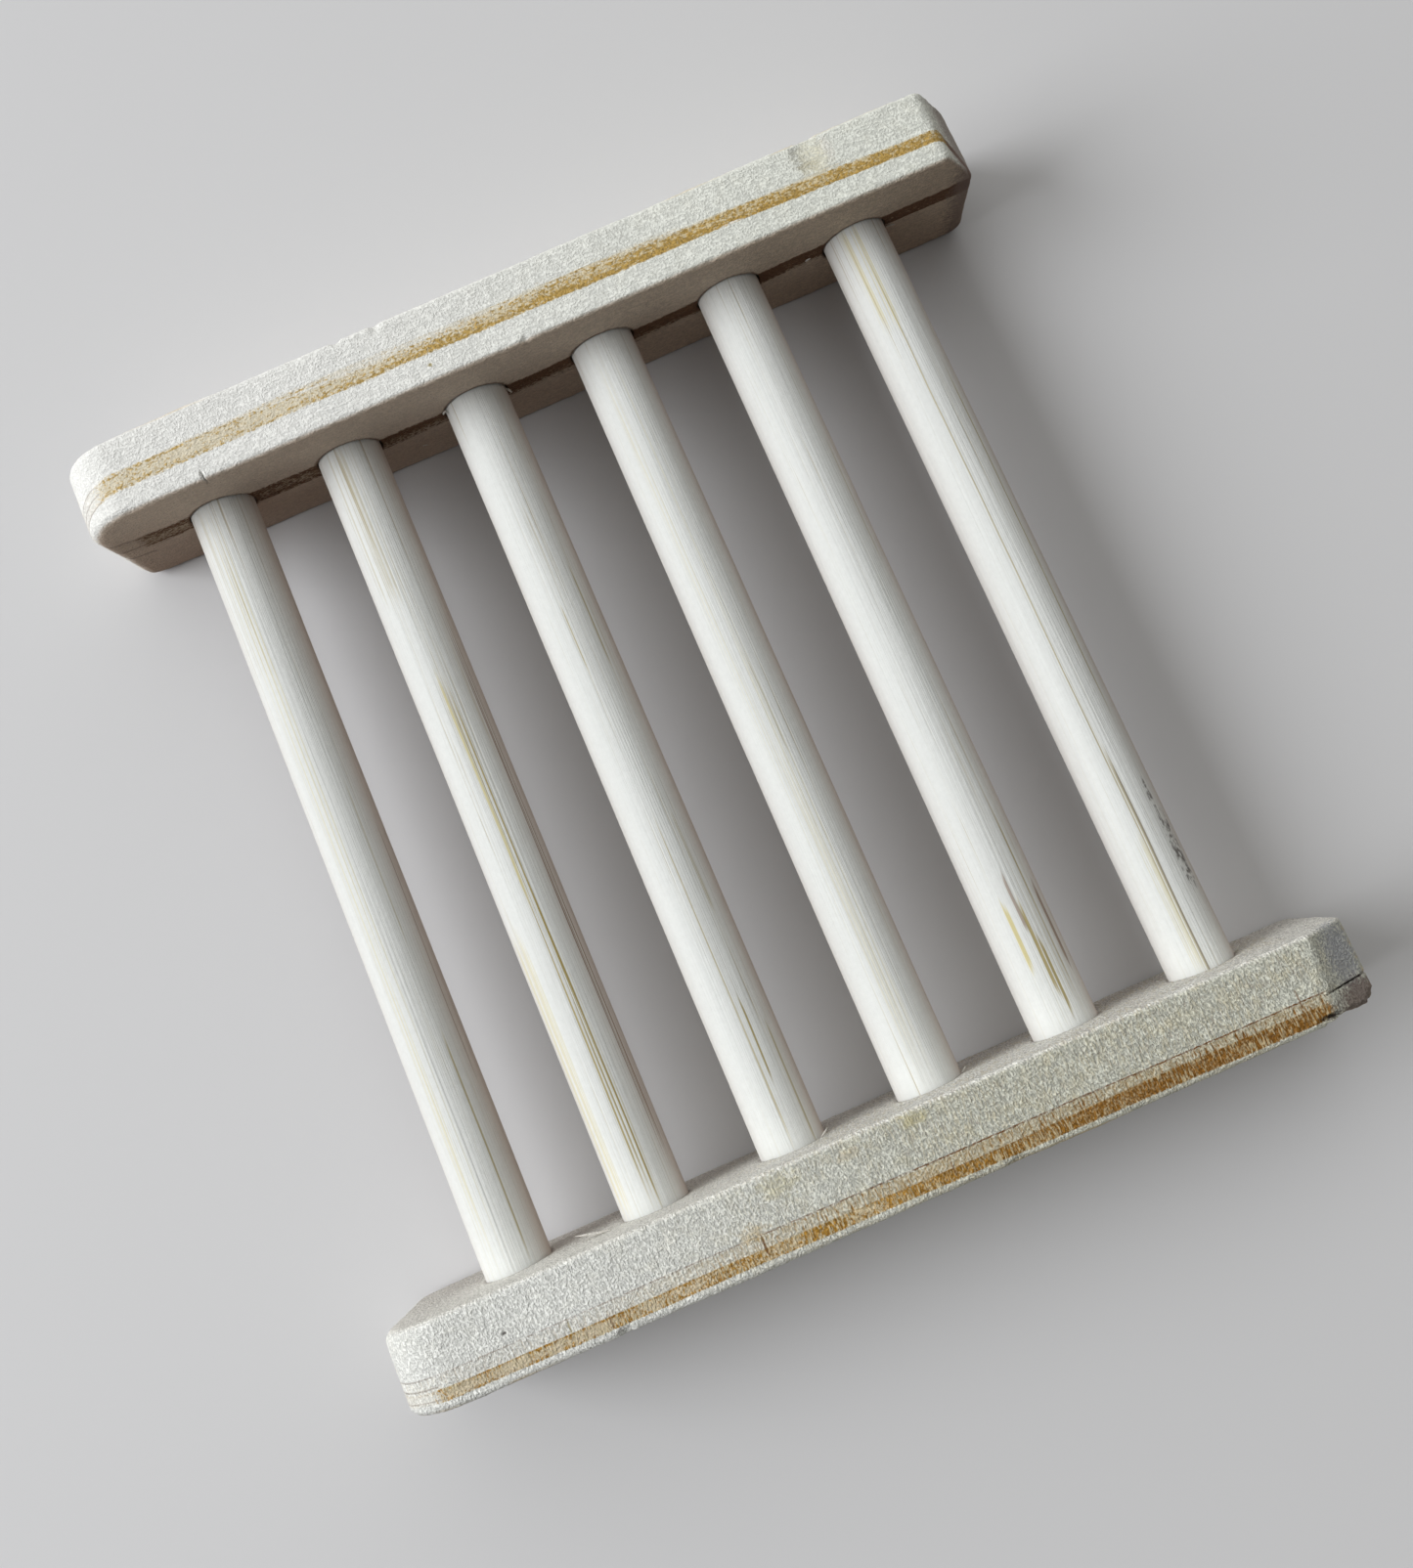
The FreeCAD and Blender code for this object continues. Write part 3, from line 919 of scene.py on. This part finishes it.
dowelMarks = {
    "dowel_1": [
        dict(angle=106, start=42, end=-42, width=2.0, tint="yellow", strength=0.35, pins=True),
        dict(angle=87, start=20, end=-42, width=0.16, tint="grey", strength=0.22),
        dict(angle=55, start=9, end=-8, width=0.16, tint="olive", strength=0.35),
        dict(angle=55, start=-18, end=-41, width=0.22, tint="olive", strength=0.7),
        dict(angle=23, start=5, end=-24, width=0.18, tint="brown", strength=0.5),
        dict(angle=118, start=42, end=22, width=3.6, tint="olive", strength=0.26, pins=True),
    ],
    "dowel_2": [
        dict(angle=81, start=16, end=-42, width=1.5, tint="olive", strength=0.85, pins=True),
        dict(angle=86, start=16, end=-10, width=0.3, tint="yellow", strength=0.7),
        dict(angle=75, start=-8, end=-42, width=0.2, tint="olive", strength=0.9),
        dict(angle=28, start=23, end=-39, width=1.3, tint="brown", strength=0.75, pins=True),
        dict(angle=103, start=42, end=24, width=3.4, tint="olive", strength=0.34, pins=True),
        dict(angle=140, start=-12, end=-42, width=2.4, tint="yellow", strength=0.4, pins=True),
    ],
    "dowel_3": [
        dict(angle=90, start=17, end=9, width=0.16, tint="olive", strength=0.6),
        dict(angle=82, start=-7, end=-42, width=0.9, tint="olive", strength=0.6, pins=True),
        dict(angle=75, start=-27, end=-35, width=0.22, tint="olive", strength=0.85),
        dict(angle=48, start=21, end=9, width=0.2, tint="olive", strength=0.6),
        dict(angle=54, start=-7, end=-18, width=0.4, tint="olive", strength=0.5, pins=True),
        dict(angle=45, start=-30, end=-42, width=0.3, tint="olive", strength=0.6),
    ],
    "dowel_4": [
        dict(angle=81, start=4, end=-6, width=0.12, tint="olive", strength=0.45),
        dict(angle=95, start=42, end=-42, width=3.0, tint="yellow", strength=0.2, pins=True),
    ],
    "dowel_5": [
        dict(angle=107, start=-29, end=-35, width=0.5, tint="yellow", strength=0.8),
        dict(angle=88, start=-27, end=-31, width=0.35, tint="brown", strength=0.6),
        dict(angle=83, start=-29, end=-38, width=0.4, tint="olive", strength=0.85),
        dict(angle=76, start=-33, end=-40, width=0.35, tint="olive", strength=0.85),
        dict(angle=39, start=-28, end=-36, width=0.5, tint="brown", strength=0.7),
        dict(angle=60, start=-19, end=-39, width=1.3, tint="olive", strength=0.55, pins=True),
        dict(angle=41, start=22, end=9, width=0.2, tint="olive", strength=0.35),
    ],
    "dowel_6": [
        dict(angle=97, start=42, end=-42, width=0.16, tint="olive", strength=0.6),
        dict(angle=106, start=42, end=30, width=2.6, tint="yellow", strength=0.4, pins=True),
        dict(angle=106, start=-28, end=-42, width=1.8, tint="yellow", strength=0.35, pins=True),
        dict(angle=92, start=-18, end=-44, width=0.34, tint="olive", strength=0.6),
        dict(angle=91, start=-19, end=-44, width=0.2, tint="grey", strength=0.6),
        dict(angle=49, start=25, end=-16, width=0.18, tint="olive", strength=0.7),
        dict(angle=52, start=-23.5, end=-25.5, width=0.7, tint="grey", strength=0.8, mottled=True),
        dict(angle=46, start=-27, end=-33.5, width=1.5, tint="grey", strength=0.85, mottled=True),
    ],
}
dowelNodes = sorted(node for node in frame["nodes"] if node.startswith("dowel_"))
dowelReach = max(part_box(node)[1].y / mm for node in dowelNodes)
holeDepth = dowelReach + dowelForm["endRoom"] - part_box("back_rail")[0].y / mm


def buildDowel(node, number):
    low, high = (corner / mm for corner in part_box(node))
    axisX, axisZ, radius = dowelAxis(node)
    form = dowelForm
    chamfer = form["chamfer"]
    count = round((high.y - low.y) / form["spacing"])
    along = np.concatenate([[low.y], np.linspace(low.y + chamfer, high.y - chamfer, count), [high.y]])
    angles = circle(form["around"])
    angle, y = np.meshgrid(angles, along, indexing="ij")
    rod = np.stack([np.cos(angle).ravel() * radius, y.ravel(), np.sin(angle).ravel() * radius], 1)
    lathe = roughness(rod * form["latheFineness"], 1.0, 2, number * 7.3)
    ridge = roughness(rod * form["ridgeFineness"], 1.0, 2, number * 3.1)
    swell = form["lathe"] * (lathe - form["sink"]) + form["ridge"] * (ridge - form["sink"])
    inset = np.where((y == along[0]) | (y == along[-1]), chamfer, 0.0).ravel()
    reach = (radius + swell - inset) / radius
    points = np.stack([axisX + rod[:, 0] * reach, rod[:, 1], axisZ + rod[:, 2] * reach], 1)
    piece = newPiece(f"{node}_wood", points, gridFaces(len(angles), len(along), 0, True))
    piece.data.shade_smooth()
    piece.data.set_sharp_from_angle(angle=math.radians(form["sharpAngle"]))
    piece.data.materials.append(dowelFinish(node, number))
    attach(piece, "root")
    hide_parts(node)
    return piece


def dowelFinish(node, number):
    axisX, axisZ, radius = dowelAxis(node)
    finish = Finish(bpy.data.materials.new(node + "_birch"))
    place = finish.place()
    x, y, z = finish.parts(place)
    arc = (z - axisZ).math("ARCTAN2", z - axisZ, x - axisX) * radius
    own = finish.gather(x - axisX + number * 31.0, y, z)  # gives each dowel its own noise
    fine, broad, waver, flecks, pins = [finish.noise(own, *settings) for settings in dowelNoise.values()]
    fuzz = finish.noise(place, (1.7, 1.7, 1.7), 3.0, 0.6)
    flecks = finish.step(flecks, 0.42, 0.6)
    pins = finish.step(pins, 0.52, 0.58)

    colour = finish.dim(dowelLook["base"], 0.93 + fuzz.swing() * 0.12 + broad * 0.12)
    colour = finish.blend(finish.step(fine, 0.56, 0.72) * 0.5, colour, dowelLook["grain"])
    backEnd = finish.step(y, *dowelLook["backEnd"])
    groove = finish.step(fine + backEnd * dowelLook["endLines"][number - 1], 0.66, 0.72)
    colour = finish.blend(groove * 0.5, colour, dowelLook["groove"])
    # painted warm shade on the lower sides, stronger on the right
    left, right = dowelLook["shadeAmount"]
    lower = 1 - finish.step((z - axisZ) / radius, *dowelLook["shadeSpan"])
    shadeAmount = left + finish.step((x - axisX) / radius, *dowelLook["shadeTurn"]) * (right - left)
    colour = finish.blend(lower * shadeAmount, colour, dowelLook["low"])
    for mark in dowelMarks[node]:
        middle = math.radians(mark["angle"]) * radius
        reach = mark["width"] / 2
        centre, half = (mark["start"] + mark["end"]) / 2, abs(mark["start"] - mark["end"]) / 2
        taper = 1 - finish.step(abs(y - centre) + fine.swing() * 6, half * 0.75, half + 1)
        inside = 1 - finish.step(abs(arc + waver.swing() * 0.4 - middle), reach * 0.6, reach * 1.1)
        amount = inside * taper * mark["strength"]
        if mark.get("pins"):
            amount = amount * pins
        if mark.get("mottled"):
            amount = amount * flecks
        colour = finish.blend(amount, colour, tints[mark["tint"]])
    return finish.wear(
        Base_Color=colour, Roughness=0.6 + fine * 0.25, Specular_IOR_Level=0.28,
        Normal=finish.bump(fuzz * 0.5 - fine, 0.1, 0.8),
    )


placeCamera(cameraView)
placeWindow()
placeSky()
placeFloor()
print("camera, light and floor placed")
for rail in (backRail, frontRail):
    piece = buildRail(rail)
    print(rail["node"], "built,", len(piece.data.polygons), "faces")
for number, node in enumerate(dowelNodes, start=1):
    buildDowel(node, number)
print(len(dowelNodes), "dowels built")
